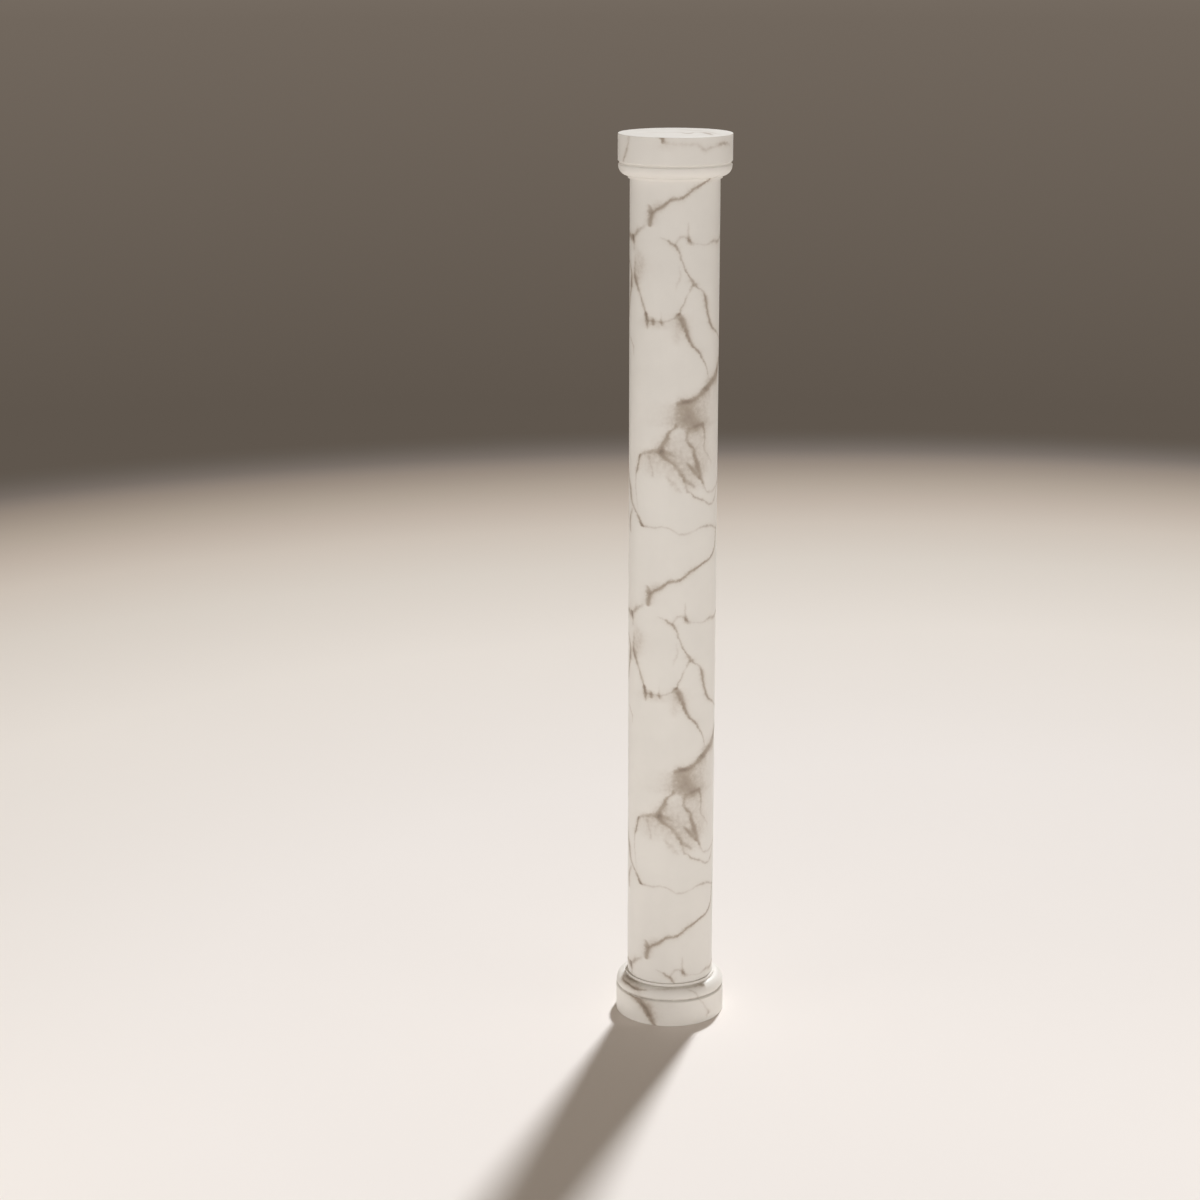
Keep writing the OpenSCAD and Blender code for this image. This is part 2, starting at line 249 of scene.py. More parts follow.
printedRoutes = [
    ("round", [(-70, 2243, 4, .1), (-62, 2246, 4.5, .5), (-56, 2249, 4.4, .8), (-47, 2255, 4.4, .86),
        (-32, 2264, 4.2, .84), (-22, 2272, 4.2, .84), (-9, 2281, 4, .8), (3, 2281, 4, .85), (16, 2283, 4.2, .95),
        (30, 2293, 4.2, .95), (42, 2303, 4.4, .95), (54, 2310, 4.4, .95), (70, 2316, 3.8, .92), (88, 2324, 3.4, .9),
        (110, 2332, 3.2, .9), (128, 2341, 3.4, .9), (142, 2356, 3.6, .85), (150, 2376, 3.8, .8), (155, 2398, 3.6, .6),
        (159, 2412, 3, .1)]),
    ("up", [(-72, 2206, 5, 0), (-72, 2217, 7.5, .9), (-69, 2234, 8.5, 1), (-70, 2248, 8.5, .85), (-73, 2257, 7, .6),
        (-75, 2268, 4, 0)]),
    ("round", [(-262, 2136, 3, .1), (-240, 2150, 4, .6), (-212, 2166, 5, .75), (-186, 2174, 6, .8),
        (-166, 2178, 6.5, .85), (-152, 2175, 7.5, .9), (-139, 2175, 7.5, .95), (-130, 2182, 6, .7),
        (-120, 2190, 6.5, .75), (-108, 2196, 5, .5), (-94, 2204, 4.5, .35), (-78, 2214, 4, .2)]),
    ("up", [(-130, 2138, 4, 0), (-134, 2156, 4.5, .4), (-137, 2168, 7, .7), (-142, 2182, 5, 0)]),
    ("up", [(39, 2160, 4, 0), (37, 2171, 4.8, .7), (34, 2182, 3.6, .5), (32, 2197, 2.4, .25), (32, 2213, 2.4, .2),
        (32, 2224, 2, 0)]),
    ("round", [(-6, 2158, 4, .1), (2, 2172, 3.5, .3), (10, 2181, 3.5, .3), (22, 2183, 3.2, .26), (34, 2176, 3.6, .45),
        (44, 2167, 2.6, .3), (62, 2164, 2.4, .2), (80, 2160, 2.4, .2), (100, 2163, 3, .3), (118, 2167, 5, .55),
        (138, 2163, 5, .55), (158, 2168, 4.5, .6), (180, 2178, 4, .7), (206, 2192, 4, .7), (236, 2186, 3.5, .5),
        (258, 2176, 3, .1)]),
    ("up", [(206, 1872, 2.4, .1), (184, 1896, 2.6, .5), (168, 1908, 2.6, .5), (156, 1916, 2.5, .5),
        (131, 1931, 3.4, .7), (113, 1944, 4, .85), (100, 1966, 4.2, .85), (93, 1990, 4.8, .9), (89, 2010, 5.2, .9),
        (84, 2029, 4.6, .8), (76, 2040, 3, .45), (60, 2052, 3.4, .55), (50, 2062, 6, .85), (38, 2079, 2.9, .66),
        (26, 2099, 2.6, .6), (17, 2119, 2.4, .52), (10, 2136, 2.6, .55), (4, 2150, 3.4, .75), (-3, 2159, 4.6, .8),
        (-15, 2170, 4, .62), (-27, 2177, 3, .36), (-42, 2183, 2.4, .12)]),
    ("up", [(8, 1978, 5, .5), (12, 1989, 3, .5), (19, 2003, 2.6, .48), (26, 2020, 2.2, .38), (32, 2034, 2.2, .24),
        (41, 2049, 2.8, .4), (49, 2064, 3.5, .5)]),
    ("round", [(-86, 1966, 3, .2), (-77, 1963, 3.6, .36), (-60, 1964, 4, .4), (-48, 1962, 2.6, .26),
        (-36, 1961, 3, .3), (-21, 1966, 2.6, .3), (1, 1975, 3, .34), (9, 1982, 4, .4), (16, 1986, 3, .2)]),
    ("up", [(-79, 1938, 3, 0), (-78, 1951, 4, .6), (-79, 1966, 5.5, .75), (-82, 1980, 4.6, .62), (-86, 1990, 3, .5)]),
    ("up", [(-60, 1950, 4, 0), (-59, 1958, 5, .62), (-61, 1967, 4.6, .56), (-63, 1978, 3, 0)]),
    ("up", [(-36, 1948, 3, 0), (-37, 1957, 3.6, .5), (-37, 1964, 3.2, .46), (-36, 1978, 2.4, .15),
        (-36, 1992, 2, 0)]),
    ("up", [(-80, 1960, 3, .4), (-82, 1978, 3.2, .6), (-90, 1996, 3.8, .66), (-98, 2015, 3.8, .66),
        (-107, 2034, 4, .7), (-116, 2051, 5, .8), (-126, 2066, 6.5, .8), (-130, 2086, 5, .5), (-128, 2108, 5, .3),
        (-124, 2140, 3, .1)]),
    ("up", [(-214, 1922, 3, .1), (-200, 1944, 3.6, .6), (-186, 1964, 4, .7), (-174, 1985, 4, .7),
        (-166, 2011, 4.5, .95), (-157, 2034, 4.5, .9), (-151, 2050, 8, 1.1), (-150, 2067, 5.5, .9),
        (-154, 2087, 5, .8), (-165, 2099, 5, .6), (-180, 2116, 5, .6), (-204, 2134, 5.5, .7), (-222, 2152, 6, .6),
        (-232, 2176, 4, .1)]),
    ("up", [(99, 1808, 2, .2), (98, 1820, 2, .36), (94, 1835, 2.2, .45), (83, 1853, 2.5, .6), (72, 1874, 2.9, .74),
        (62, 1887, 3.6, .86), (49, 1897, 3.6, .9), (42, 1908, 4.2, .92), (35, 1920, 5, .95), (26, 1946, 7, 1),
        (19, 1963, 8.5, 1), (13, 1978, 7.5, .8), (6, 1988, 5, .1)]),
    ("up", [(0, 2040, 2.5, 0), (2, 2056, 2.6, .16), (10, 2072, 2.6, .26), (13, 2088, 2.6, .22), (10, 2104, 2.4, .1),
        (10, 2114, 2, 0)]),
    ("up", [(-136, 1860, 2.2, 0), (-135, 1874, 2.5, .3), (-136, 1889, 2.6, .45), (-150, 1901, 2.5, .45),
        (-162, 1914, 2.5, .3)]),
    ("round", [(-2, 1742, 6, .1), (10, 1750, 8, .6), (20, 1753, 8, .72), (38, 1753, 7, .76), (53, 1758, 7, .8),
        (70, 1767, 7, .8), (84, 1777, 9, .95), (97, 1787, 10.5, 1.05), (108, 1793, 10.5, 1.1), (120, 1800, 10, 1.1),
        (134, 1807, 11.5, 1.1), (147, 1818, 11, 1), (160, 1836, 8, .9), (178, 1856, 6, .85), (202, 1872, 5, .8),
        (230, 1878, 4, .7), (262, 1868, 3, .1)]),
    ("up", [(56, 1516, 3, .1), (49, 1527, 5, .4), (33, 1539, 6, .46), (21, 1554, 5.5, .4), (10, 1572, 5.5, .38),
        (-2, 1586, 5, .42), (-18, 1596, 5.6, .6), (-30, 1606, 7.5, .74), (-36, 1622, 9.5, .82), (-30, 1638, 8.5, .78),
        (-21, 1652, 7.5, .76), (-18, 1666, 6, .74), (-10, 1676, 4.8, .68), (0, 1682, 4, .62), (6, 1696, 4, .5)]),
    ("up", [(37, 1504, 3, .1), (34, 1514, 3.4, .3), (31, 1532, 3.6, .3), (24, 1548, 4, .28), (16, 1562, 3, .1)]),
    ("round", [(-38, 1629, 5, .1), (-25, 1619, 5, .34), (-13, 1614, 5, .32), (-1, 1608, 4, .2), (8, 1602, 4, 0)]),
    ("round", [(-106, 1598, 3, .3), (-100, 1603, 4, .5), (-90, 1609, 4.5, .42), (-68, 1615, 5, .42),
        (-47, 1621, 6.5, .5), (-36, 1624, 7, .4), (-24, 1624, 5, 0)]),
    ("up", [(-108, 1440, 2, .1), (-117, 1490, 2.2, .22), (-121, 1524, 2.6, .3), (-118, 1549, 3, .46),
        (-114, 1567, 4, .9), (-109, 1584, 3.8, .85), (-104, 1600, 3.2, .6), (-99, 1608, 3, .2)]),
    ("up", [(-57, 1544, 2.5, 0), (-59, 1556, 2.8, .24), (-62, 1572, 3, .2), (-70, 1594, 3, .22),
        (-72, 1612, 3.4, .2)]),
    ("up", [(87, 1512, 2.6, .2), (82, 1529, 3, .5), (74, 1547, 6, .7), (69, 1565, 8, .76), (65, 1580, 7.4, .76),
        (60, 1595, 6, .74), (55, 1610, 5, .66), (51, 1626, 4.6, .62), (41, 1637, 5, .58), (33, 1652, 5, .45),
        (35, 1670, 7, .45), (37, 1684, 8, .3)]),
    ("up", [(76, 1538, 3, 0), (66, 1548, 4, .34), (55, 1562, 5, .5), (47, 1573, 5, .55), (39, 1582, 4.5, .45),
        (32, 1592, 4, 0)]),
    ("round", [(44, 1686, 5, .1), (58, 1684, 5, .25), (70, 1688, 4.5, .32), (80, 1690, 4, .4), (88, 1684, 3, 0)]),
    ("up", [(122, 1574, 2.2, 0), (112, 1588, 2.6, .2), (99, 1605, 2.6, .26), (87, 1621, 2.6, .24), (88, 1650, 3, .3),
        (86, 1674, 3.4, .36), (80, 1688, 4, .42)]),
    ("round", [(-26, 1554, 5, 0), (-13, 1542, 6.5, .26), (4, 1525, 6.5, .28), (13, 1516, 5, .24), (24, 1508, 3, 0)]),
    ("round", [(30, 1516, 2.6, .2), (43, 1507, 2.8, .4), (56, 1495, 2.8, .55), (72, 1488, 2.8, .55),
        (90, 1480, 2.8, .5), (108, 1468, 2.8, .5), (122, 1467, 2.6, .5), (134, 1474, 2.6, .5), (147, 1492, 2.6, .45),
        (158, 1512, 2.6, .4), (172, 1530, 2.8, .45), (196, 1548, 3.4, .6), (222, 1552, 4, .7), (250, 1540, 3, .1)]),
    ("round", [(80, 1540, 2.6, .1), (88, 1522, 2.8, .3), (100, 1502, 2.8, .34), (122, 1501, 3, .34),
        (143, 1508, 3, .34), (158, 1516, 2.6, .2), (170, 1522, 2, .1)]),
    ("up", [(-88, 1408, 3, .1), (-97, 1419, 4.2, .95), (-105, 1431, 4.2, .8), (-123, 1449, 4, .6),
        (-142, 1467, 4.6, .7), (-147, 1478, 6, .8), (-155, 1503, 6.6, .95), (-164, 1518, 6.6, .85),
        (-173, 1538, 5, .6), (-186, 1556, 5, .7), (-206, 1574, 5, .75), (-224, 1600, 4.5, .6), (-236, 1630, 3, .1)]),
    ("up", [(-152, 1378, 4, 0), (-156, 1392, 5, .6), (-158, 1405, 5.6, .75), (-156, 1420, 5.6, .75),
        (-147, 1439, 5, .6), (-133, 1456, 4, .1)]),
    ("round", [(-104, 1420, 2.6, .1), (-92, 1412, 2.8, .4), (-64, 1411, 2.6, .3), (-27, 1414, 2.4, .26),
        (0, 1404, 2.4, .26), (16, 1395, 2.6, .3), (53, 1401, 2.4, .2), (85, 1410, 2.8, .4), (110, 1409, 3, .5),
        (148, 1396, 2.6, .45), (170, 1390, 2.4, .2)]),
]

# broad stains, drawn the same way: nearly even inside, with soft edges
printedStains = [
    ("up", [(54, 1666, 12, 0), (52, 1677, 20, .42), (43, 1688, 32, .7), (35, 1698, 34, .76), (29, 1712, 30, .76),
        (25, 1726, 26, .76), (23, 1738, 23, .74), (24, 1748, 20, .55), (28, 1758, 14, 0)]),
    ("up", [(72, 1640, 22, 0), (66, 1672, 34, .2), (66, 1700, 38, .32), (68, 1730, 36, .34), (80, 1758, 28, .28),
        (94, 1780, 16, .1), (100, 1796, 8, 0)]),
    ("up", [(62, 1500, 16, 0), (46, 1530, 26, .22), (30, 1560, 34, .3), (12, 1590, 38, .3), (2, 1620, 32, .26),
        (6, 1650, 26, .16), (14, 1676, 18, 0)]),
    ("up", [(100, 1540, 16, 0), (86, 1580, 28, .2), (74, 1620, 34, .26), (68, 1660, 34, .26), (66, 1700, 26, 0)]),
    ("up", [(-122, 2050, 10, 0), (-118, 2072, 16, .36), (-110, 2100, 20, .36), (-106, 2122, 18, .28),
        (-122, 2146, 12, .12), (-130, 2164, 8, 0)]),
    ("up", [(-58, 1540, 24, 0), (-60, 1570, 40, .16), (-60, 1598, 40, .26), (-56, 1614, 30, .26),
        (-50, 1626, 16, 0)]),
    ("up", [(-56, 2238, 10, 0), (-50, 2262, 16, .24), (-42, 2282, 10, 0)]),
    ("up", [(2, 1896, 8, 0), (6, 1930, 12, .24), (8, 1962, 10, .24), (4, 1984, 8, 0)]),
    ("up", [(-44, 1936, 24, 0), (-50, 1954, 34, .2), (-54, 1974, 24, 0)]),
]

castBlock = {
    "radius": 150,
    "repeat": 1000,              # never comes again within one casting
    "reach": 472,                # half the way round
    "bends": [(30, 3.5), (11, 3.0), (4.5, 1.8)],
    "breaks": 18,
    "ground": 1.03,
    "smears": 40,
    "gloss": (0.36, 0.48),
}
# The bands round the top of the ovolo just under the fillet ring (the second to fourth routes) are partly the
# marble's smears and partly painted shadow, where the shaft's shadow falls on the front and left.
baseRoutes = [
    ("up", [(-42, -10, 5, .8), (-48, 2, 5.5, .9), (-56, 16, 7, .9), (-63, 30, 8, .95), (-71, 42, 8.5, .95),
        (-81, 54, 8.5, .95), (-93, 63, 8, 1), (-110, 72, 6, 1), (-134, 78, 4, .3)]),
    ("round", [(-200, 116, 4, .2), (-185, 110, 4, .5), (-166, 106, 4.4, .9), (-143, 104, 4.6, 1.1),
        (-123, 102, 4.6, 1.15), (-106, 101, 4.4, 1), (-92, 102, 4.2, .8), (-77, 104, 4, .4), (-60, 108, 3.6, .15)]),
    ("round", [(-196, 126, 4.5, .3), (-170, 127, 5, .7), (-150, 128, 5, .75), (-130, 128, 4.5, .55),
        (-112, 126, 4, .3), (-90, 120, 4, .1)]),
    ("round", [(-70, 112, 4, .1), (-50, 115, 4.5, .25), (-24, 119, 5, .35), (4, 123, 5, .4), (35, 123, 5, .3),
        (62, 124, 5, .35), (84, 123, 5.5, .5), (99, 120, 7, .8), (108, 118, 7.5, .95), (113, 117, 7, .5),
        (116, 117, 5, 0)]),
    ("up", [(111, 8, 3, .1), (112, 16, 3.4, .3), (119, 24, 5, .55), (112, 34, 3, .34), (105, 44, 2.6, .26),
        (96, 58, 2.6, .24), (84, 72, 2.6, .24), (80, 84, 2.8, .3), (72, 96, 2.8, .34), (60, 106, 2.8, .34),
        (50, 114, 3, .1)]),
]
baseStains = [
    ("up", [(-44, 2, 5, 0), (-49, 18, 9, .3), (-57, 36, 13, .46), (-65, 50, 15, .48), (-78, 64, 17, .42),
        (-90, 78, 17, .3), (-99, 90, 17, .16), (-104, 102, 16, 0)]),
    # partly a smear and partly painted shadow of the shaft, on the left of the ovolo's top under the fillet ring
    ("round", [(-200, 122, 14, .1), (-176, 116, 15, .32), (-146, 114, 15, .36), (-118, 112, 15, .34),
        (-92, 112, 13, .24), (-66, 114, 12, .1)]),
]
capitalRoutes = [
    ("up", [(-173, 2366, 4, .1), (-169, 2378, 4.2, .5), (-160, 2390, 4.4, .6), (-152, 2403, 4.4, .6),
        (-147, 2416, 4, .42), (-144, 2428, 4.4, .42), (-141, 2444, 4.6, .4)]),
    ("up", [(-35, 2422, 2.4, 0), (-35, 2428, 3, .45), (-36, 2433, 3.6, .85), (-38, 2439, 5.5, .95),
        (-38, 2448, 5, .4)]),
    ("round", [(-42, 2429, 4, .1), (-34, 2428, 4, .3), (-24, 2426, 4.5, .24), (0, 2423, 4.5, .2), (30, 2424, 4.5, .2),
        (52, 2420, 4.5, .24), (65, 2413, 5, .32), (77, 2408, 5.5, .36), (88, 2411, 5, .32), (102, 2414, 4.5, .32),
        (120, 2418, 4.5, .42), (141, 2421, 5.5, .62), (154, 2420, 5, .55), (168, 2416, 4, .3), (190, 2411, 4, .1)]),
    # where the shaft's vein meets the fillet ring it runs on into the ovolo
    ("up", [(102, 2294, 3, 0), (107, 2299, 3.6, .8), (114, 2303, 3.8, .95), (121, 2311, 3.8, .9),
        (128, 2323, 3.4, .5), (134, 2334, 3, 0)]),
]
capitalStains = [
    ("up", [(-30, 2400, 14, 0), (-34, 2420, 16, .12), (-36, 2450, 16, .12)]),
]
# the flat end of a casting has its own, in x and in y, which is offset clear of the sides' heights
endOffset = 3600
endRoutes = [
    ("up", [(118, -74, 3, .1), (104, -31, 4, .3), (96, 0, 4, .3), (84, 28, 4, .3), (59, 58, 5, .4), (34, 78, 5, .5),
        (14, 96, 4, .1)]),
    ("round", [(-110, -34, 3, .1), (-68, -6, 3, .26), (-20, -2, 4, .3), (10, 8, 5, .4), (30, -22, 7, .7),
        (42, -14, 6, .6), (54, 14, 6, .45), (70, -2, 6, .7), (82, -24, 7, .9), (92, -50, 6, .5), (99, -76, 4, .1)]),
]
endRoutes = [(run, [(x, endOffset + y, *rest) for x, y, *rest in points]) for run, points in endRoutes]


# seeded veins that start somewhere in a strip and stray as they go, with stride mm between points
def wanderingRoutes(count, seed, across, up, stride):
    dice = random.Random(seed)
    routes = []
    for n in range(count):
        run = "up" if n % 3 else "round"
        s, z = dice.uniform(*across), dice.uniform(*up)
        if n % 2 and routes:    # every other one forks from the one before
            s, z = dice.choice(routes[-1][1])[:2]
        lean = dice.uniform(-0.7, 0.7)
        ahead = 1 if run == "up" or s < sum(across) / 2 else -1
        width, depth = dice.uniform(2.6, 5.0), dice.uniform(0.4, 0.85)
        points = []
        for step in range(dice.randint(6, 11)):
            if not across[0] <= s <= across[1]:
                break
            points.append([s, z, width * dice.uniform(0.7, 1.5), depth * dice.uniform(0.5, 1.1)])
            lean = max(-0.9, min(0.9, lean + dice.uniform(-0.5, 0.5)))
            onward = stride * dice.uniform(0.7, 1.3) * ahead
            s, z = (s + stride * lean, z + onward) if run == "up" else (s + onward, z + stride * lean)
        if len(points) > 3:
            routes.append((run, points))
    return routes


# the far side carries the near side's veins again, turned upside down about a point on the side
# and cut off at the seam: the upper ones right of it and the lower ones left of it
farCopies = {
    "parting": 1880,             # the height that parts the upper veins from the lower
    "aside": 145,                # mm round, and the heights, that they turn about
    "upper": 1950,
    "lower": 1850,
    "strip": (198, 400),         # mm from the middle of the front
    "faintest": 0.45,            # a copy whose depth stays below this is left out
}


def farSide(routes):
    moved = []
    near, far = farCopies["strip"]
    for run, points in routes:
        side, height = (1, farCopies["upper"]) if points[0][1] > farCopies["parting"] else (-1, farCopies["lower"])
        turned = [(2 * side * farCopies["aside"] - s, 2 * height - z, *rest) for s, z, *rest in points]
        turned = [point for point in turned if near < abs(point[0]) < far]
        if len(turned) > 3 and max(point[3] for point in turned) > farCopies["faintest"]:
            moved.append((run, turned))
    return moved


marble = {
    # by depth of vein: the warm white ground, its grey-brown veil, and the veins' taupe
    "tones": [(0.0, "#E2DDD5"), (0.25, "#D2CAC0"), (0.55, "#B4A89A"), (0.8, "#A09284"), (1.0, "#8C7E70")],
    "deepest": 1.35,             # the depth that the last tone stands for
    "edge": 2.7,                 # how steeply a vein's colour falls off at its edges
    "wisps": 10,                 # mm across
    "clouds": 90,                # mm across
    # the brown that paints shade into the bottom of the base's V groove
    "grooveShadeTone": "#6B5A4A",
}


def drawRoutes(add, across, up, routes, reach, repeat):
    acrossPart = add("Math MULTIPLY_ADD", [across, 0.5 / reach, 0.5])
    upPart = add("Math MULTIPLY", [up, 1 / repeat])
    total = None
    for run, points in routes:
        main, other = (1, 0) if run == "up" else (0, 1)
        points = sorted(points, key=lambda p: p[main])
        start, length = points[0][main], points[-1][main] - points[0][main]
        along = add("Math MULTIPLY_ADD", [up if run == "up" else across, 1 / length, -start / length])
        if run == "up":
            along = add("Math WRAP", [along, repeat / length, 0.0])
        centres, widths, depths = [], [], []
        unit = 2 * reach if run == "up" else repeat
        for i, point in enumerate(points):
            before, after = points[max(i - 1, 0)], points[min(i + 1, len(points) - 1)]
            slope = (after[other] - before[other]) / max(after[main] - before[main], 1)
            stretch = math.sqrt(1 + min(slope * slope, 30))    # a leaning line is wider when cut level
            x = (point[main] - start) / length
            centres.append((x, point[0] / unit + 0.5 if run == "up" else point[1] % repeat / repeat))
            widths.append((x, point[2] * stretch / unit))
            depths.append((x, point[3] if 0 < i < len(points) - 1 else 0.0))
        shape = add("RGBCurve", {"Color": along})
        for curve, values in zip(shape.mapping.curves, (centres, widths, depths)):
            setCurve(curve, values)
        shape.mapping.extend = "HORIZONTAL"
        shape.mapping.update()
        parts = add("SeparateColor", [shape])
        offset = add("Math SUBTRACT", [acrossPart if run == "up" else upPart, parts.outputs[0]])
        if run == "round":
            offset = add("Math WRAP", [offset, 0.5, -0.5])
        offset = add("Math DIVIDE", [offset, parts.outputs[1]])
        offset = add("Math ABSOLUTE", [offset])
        falloff = add("Math POWER", [offset, marble["edge"]])
        falloff = add("Math ADD", [falloff, 1.0])
        falloff = add("Math DIVIDE", [1.0, falloff])
        total = add("Math MULTIPLY_ADD", [falloff, parts.outputs[2], total or 0.0])
    return total


def millimetres(add):
    place = add("TexCoord")
    inMm = add("VectorMath SCALE", {0: place.outputs["Object"], "Scale": 1 / mm})
    axes = add("SeparateXYZ", [inMm])
    plan = add("CombineXYZ", axes.outputs[:2])
    return inMm, axes, add("VectorMath LENGTH", [plan])


def veinedMarble(name, look, routes, stains, shine):
    material, add, shader = newMaterial(name, shine)
    axes, fromAxis = millimetres(add)[1:]
    x, y, z = axes.outputs
    toFront = add("Math MULTIPLY", [y, -1.0])
    angle = add("Math ARCTAN2", [x, toFront])
    across = add("Math MULTIPLY", [angle, look["radius"]])
    up = z
    if "end" in look:    # the height runs on inwards over the ledges of a casting, as far as its flat end
        up = add("Math MULTIPLY_ADD", [fromAxis, -look["inwards"], up])
        up = add("Math ADD", [up, look["inwards"] * look["radius"]])
        onEnd = add("Math COMPARE", [z, look["end"], 0.5])
        endUp = add("Math ADD", [y, endOffset])
        across = add("Mix", {0: onEnd, 2: across, 3: x})
        up = add("Mix", {0: onEnd, 2: up, 3: endUp})
    # the noise runs round a ring as long as the repeat, so it comes again with the print
    ring = look["repeat"] / math.tau
    turn = add("Math DIVIDE", [up, ring])
    cosine = add("Math COSINE", [turn])
    sine = add("Math SINE", [turn])
    acrossRings = add("Math DIVIDE", [across, ring])
    sheet = add("CombineXYZ", [acrossRings, cosine, sine])
    sheet = add("VectorMath SCALE", {0: sheet, "Scale": ring})
    point = add("CombineXYZ", [across, up])
    for size, amount in look["bends"]:
        noise = add("TexNoise", {"Vector": sheet, "Scale": 1 / size, "Detail": 1.5})
        shift = add("VectorMath SUBTRACT", [noise.outputs["Color"], (0.5, 0.5, 0.5)])
        point = add("VectorMath MULTIPLY_ADD", [shift, (amount * 2,) * 3, point])
    bent = add("SeparateXYZ", [point])
    veins = drawRoutes(add, *bent.outputs[:2], routes, look["reach"], look["repeat"])
    breaks = add("TexNoise", {"Vector": sheet, "Scale": 1 / look["breaks"], "Detail": 3.0, "Roughness": 0.6})
    level = add("MapRange", [breaks, 0.3, 0.7, 0.8, 1.2])
    veins = add("Math MULTIPLY", [veins, level])
    soft = drawRoutes(add, *bent.outputs[:2], stains, look["reach"], look["repeat"])
    patches = add("TexNoise", {"Vector": sheet, "Scale": 0.4 / look["breaks"], "Detail": 3.0})
    level = add("MapRange", [patches, 0.35, 0.65, 0.85, 1.1])
    depth = add("Math MULTIPLY_ADD", [soft, level, veins])
    # the paler a stretch is, the more it breaks up into wisps
    wisps = add("TexNoise", {"Vector": sheet, "Scale": 1 / marble["wisps"], "Detail": 2.0})
    least = add("Math MULTIPLY_ADD", [depth, 0.35, 0.62], use_clamp=True)
    most = add("Math SUBTRACT", [2.0, least])
    level = add("MapRange", [wisps, 0.32, 0.68, least, most])
    depth = add("Math MULTIPLY", [depth, level])
    depth = add("Math DIVIDE", [depth, marble["deepest"]])
    tone = setRamp(add("ValToRGB", [depth]), marble["tones"])
    # barely seen clouds in the ground keep it from looking like paint
    clouds = add("TexNoise", {"Vector": sheet, "Scale": 1 / marble["clouds"], "Detail": 3.0})
    level = add("MapRange", [clouds, 0.35, 0.7, look["ground"], look["ground"] - 0.035])
    tone = add("VectorMath SCALE", {0: tone, "Scale": level})
    if "groove" in look:    # painted shade: the bottom of the V groove darkens towards a brown, broken up by noise
        away = add("Math SUBTRACT", [z, look["groove"]])
        away = add("Math ABSOLUTE", [away])
        left = add("MapRange", [away, 0.5, 4.6, 0.7, 0.0], **smooth)
        left = add("Math MULTIPLY", [left, breaks])
        tone = add("Mix", {0: left, 6: tone, 7: toLinear(marble["grooveShadeTone"])}, data_type="RGBA")
    smears = add("TexNoise", {"Vector": sheet, "Scale": 1 / look["smears"], "Detail": 3.0})
    gloss = add("MapRange", [smears, 0.3, 0.7, *look["gloss"]])
    setInputs(shader, {"Base Color": tone, "Roughness": gloss})
    return material, add, shader, sheet


# printed marble laminate: paper under a clear satin coat, so the veins lie flat beneath an even
# soft shine that ripples slightly over the wound board
laminate, add, shader, sheet = veinedMarble(
    "printedMarbleLaminate", printedSheet,
    printedRoutes + farSide(printedRoutes)
    + wanderingRoutes(5, seed=8, across=(200, 372), up=(2000, 2300), stride=38)
    + wanderingRoutes(5, seed=27, across=(-372, -200), up=(1340, 1640), stride=38),
    printedStains + farSide(printedStains[:4]), {"Roughness": 0.36, "Specular IOR Level": 0.45})
ripple = add("TexNoise", {"Vector": sheet, "Scale": 1 / 14, "Detail": 1.0})
bump = add("Bump", {"Strength": 0.1, "Distance": 0.0001, "Height": ripple})
setInputs(shader, {"Normal": bump})
giveMaterial(laminate, "shaft_skin")

# cast marble: ground stone in resin with pigment stirred in, rubbed down after turning; the veins
# run over every moulding, and the satin gel coat is a little duller than the laminate
# (end and groove are heights; inwards is 1 where the height rises over the ledges)
for name, look, routes, stains, heights, seed in (
        ("base", dict(castBlock, end=0, inwards=1, groove=75), baseRoutes, baseStains, (0, 130), 31),
        ("capital", dict(castBlock, end=2440, inwards=-1), capitalRoutes, capitalStains, (2320, 2430), 47)):
    around = (wanderingRoutes(6, seed, across=(258, 460), up=heights, stride=22)
              + wanderingRoutes(6, seed + 1, across=(-460, -258), up=heights, stride=22))
    material = veinedMarble(
        "castMarble_" + name, look, routes + endRoutes + around, stains,
        {"Roughness": 0.42, "Specular IOR Level": 0.4})[0]
    giveMaterial(material, name + "_moulding")
print("marble done")


# spirally wound board: kraft paper strips glued round a mandrel, which leave a matt fibrous brown
# with a fine butt seam climbing round it
woundTube = {
    "radius": 115.0,
    "stripWidth": 127.0,         # mm along the axis for one turn of the seam
    "seam": 1.6,                 # mm, drawn wider than the real 0.5 so that it shows
    "tones": [(0.3, "#A88A66"), (0.52, "#B79A76"), (0.72, "#C4A985")],
    "fibre": (1 / 12, 1 / 1.6, 0.5),    # 12 mm long and 1.6 across
    "lean": 10,                  # degrees
}
woundBoard, add, shader = newMaterial("spirallyWoundBoard", {"Roughness": 0.82, "Specular IOR Level": 0.3})
axes, fromAxis = millimetres(add)[1:]
x, y, z = axes.outputs
angle = add("Math ARCTAN2", [y, x])
aroundTube = add("Math MULTIPLY", [angle, woundTube["radius"]])
strand = add("CombineXYZ", [aroundTube, z, fromAxis])
turned = add("Mapping", {0: strand, "Rotation": (0, 0, math.radians(woundTube["lean"])), "Scale": woundTube["fibre"]})
fibres = add("TexNoise", {"Vector": turned, "Scale": 1.0, "Detail": 4.0, "Roughness": 0.6})
tone = setRamp(add("ValToRGB", [fibres]), woundTube["tones"])
seamRun = add("Math MULTIPLY_ADD", [angle, woundTube["stripWidth"] / math.tau, z])
seamRun = add("Math PINGPONG", [seamRun, woundTube["stripWidth"] / 2])
seam = add("MapRange", [seamRun, 0.0, woundTube["seam"], 0.55, 1.0], **smooth)
tone = add("VectorMath SCALE", {0: tone, "Scale": seam})
relief = add("Math MULTIPLY_ADD", [fibres, 0.25, seam])
bump = add("Bump", {"Strength": 0.6, "Distance": 0.0004, "Height": relief})
setInputs(shader, {"Base Color": tone, "Normal": bump})
giveMaterial(woundBoard, "shaft_tube")

